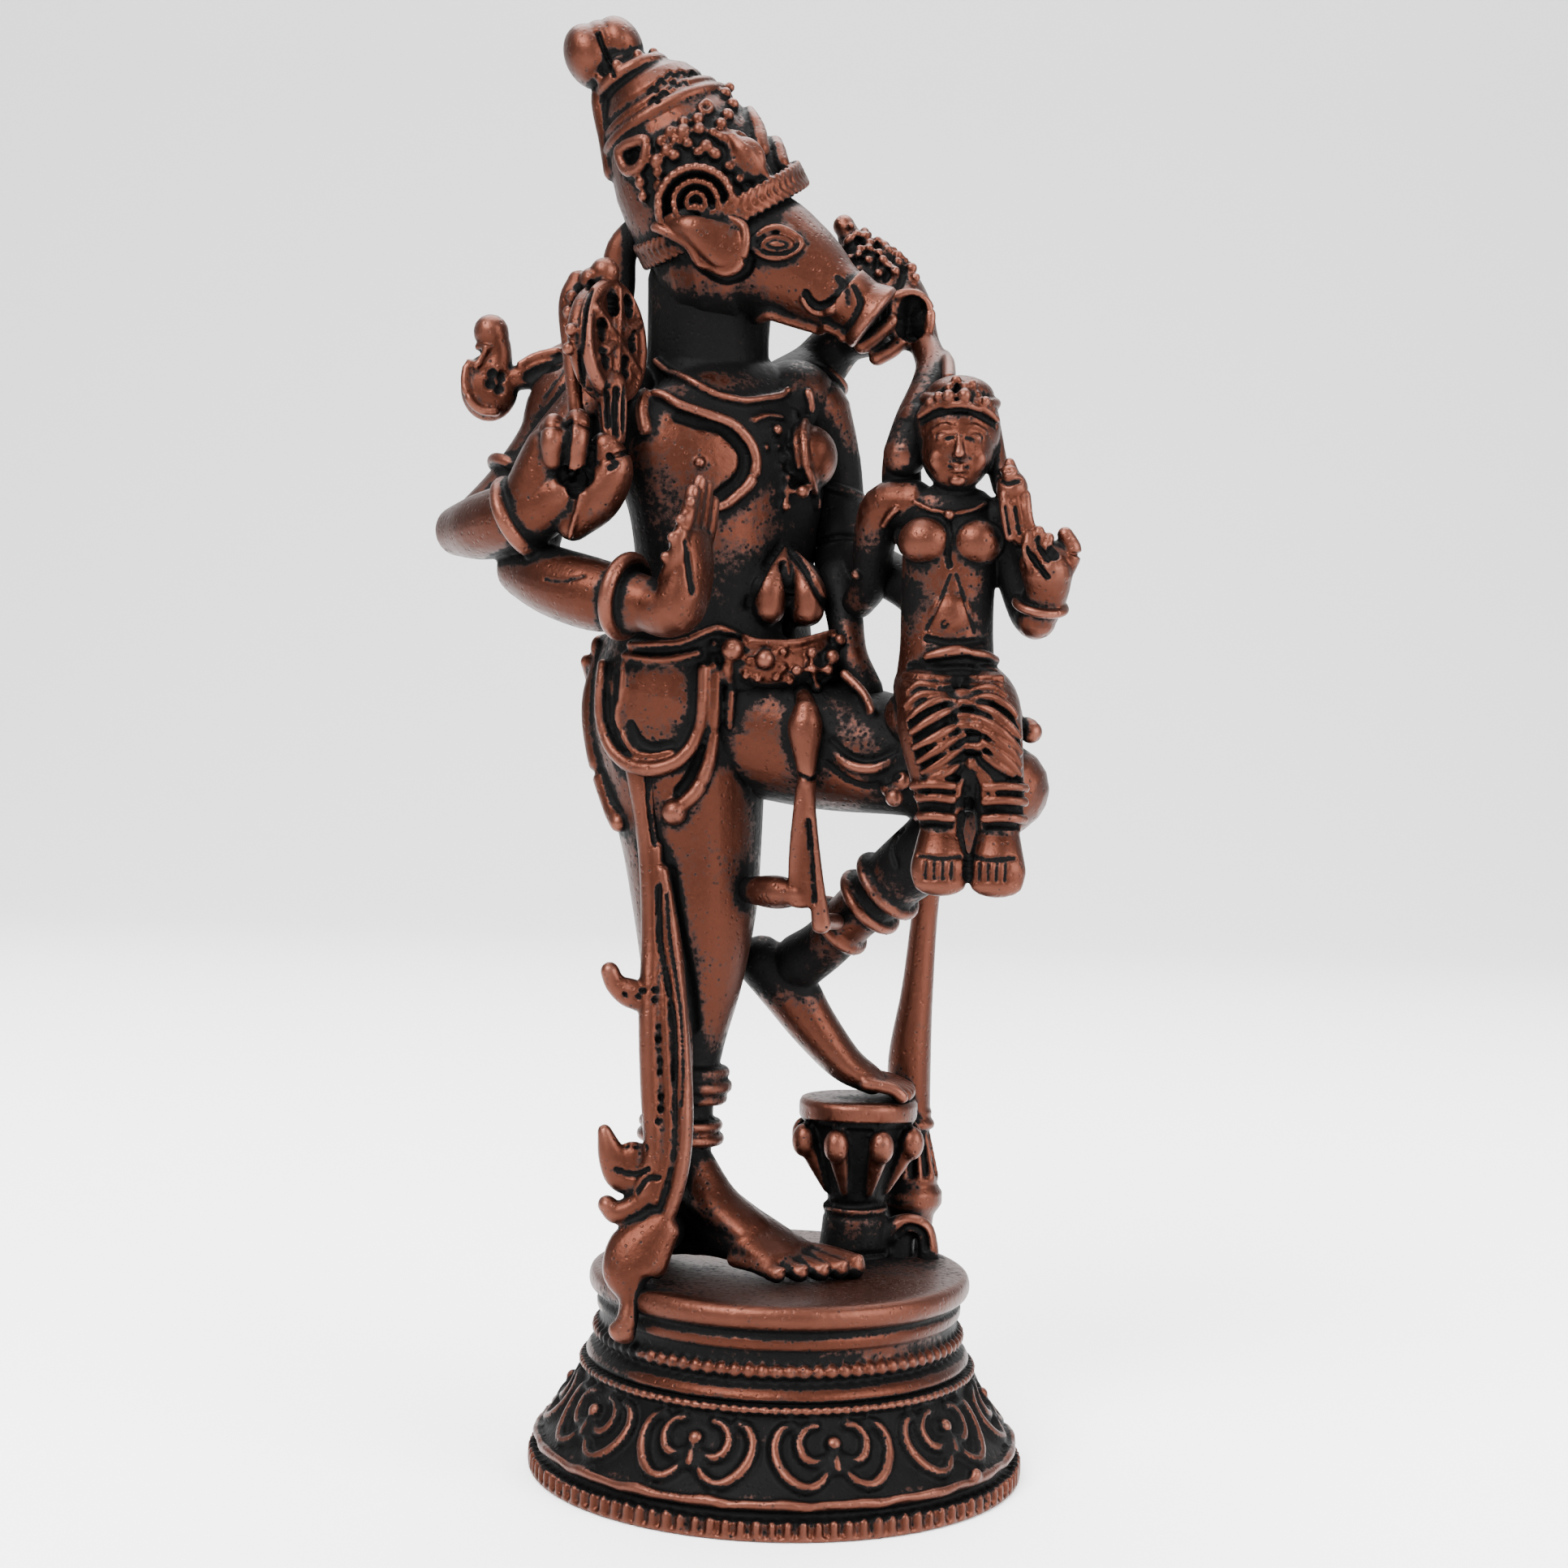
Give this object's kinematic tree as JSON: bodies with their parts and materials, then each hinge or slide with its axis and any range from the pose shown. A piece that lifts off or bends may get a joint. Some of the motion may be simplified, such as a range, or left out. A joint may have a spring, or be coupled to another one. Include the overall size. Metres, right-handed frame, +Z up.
{
  "type": "cast deity figurine",
  "caption": "Small cast figurine of a boar-headed, many-armed god with a goddess seated on his raised thigh, standing by its own weight on a round lotus plinth.",
  "frame": {"origin": "centre of the plinth's underside", "axes": "+Z up along the height, -Y towards the viewer whom the goddess faces, +X to that viewer's right"},
  "size_m": [0.0411, 0.0324, 0.095],
  "materials": {
    "antiqued_copper": "antiqued copper plating, rubbed bright on raised parts with black patina in the recesses"
  },
  "bodies": {
    "root": {"varaha_lakshmi_casting": "antiqued_copper"}
  },
  "joints": []
}
